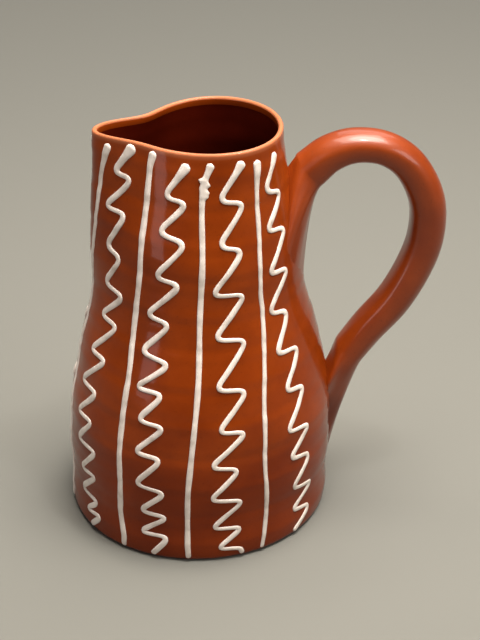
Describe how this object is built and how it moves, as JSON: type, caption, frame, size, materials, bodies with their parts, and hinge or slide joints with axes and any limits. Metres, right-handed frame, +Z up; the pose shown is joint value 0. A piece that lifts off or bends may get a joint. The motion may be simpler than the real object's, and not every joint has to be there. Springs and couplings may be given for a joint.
{
  "type": "ceramic pitcher",
  "caption": "Hand-thrown glazed clay pitcher with a pinched pouring lip, a looped strap handle and raised white slip lines and zigzags.",
  "frame": {"origin": "centre of the flat foot, on the surface that the pitcher stands on", "axes": "+Z up through the mouth, +X from the vessel's middle out through the handle, so the pouring spout points to -X and the pitcher's front, as it is usually seen, faces -Y"},
  "size_m": [0.1953, 0.1405, 0.21],
  "materials": {
    "glazed_clay": "red earthenware under a clear gloss glaze",
    "joining_slip": "red clay slip under a clear gloss glaze",
    "white_slip": "raised off-white slip under a clear gloss glaze"
  },
  "bodies": {
    "root": {"vessel_body": "glazed_clay", "handle": "glazed_clay", "upper_handle_slip": "joining_slip", "lower_handle_slip": "joining_slip", "line_trail_1": "white_slip", "line_trail_2": "white_slip", "line_trail_3": "white_slip", "line_trail_4": "white_slip", "line_trail_5": "white_slip", "line_trail_6": "white_slip", "line_trail_7": "white_slip", "line_trail_8": "white_slip", "wave_trail_1": "white_slip", "wave_trail_2": "white_slip", "wave_trail_3": "white_slip", "wave_trail_4": "white_slip", "wave_trail_5": "white_slip", "wave_trail_6": "white_slip", "wave_trail_7": "white_slip", "wave_trail_8": "white_slip", "wave_trail_9": "white_slip"}
  },
  "joints": []
}
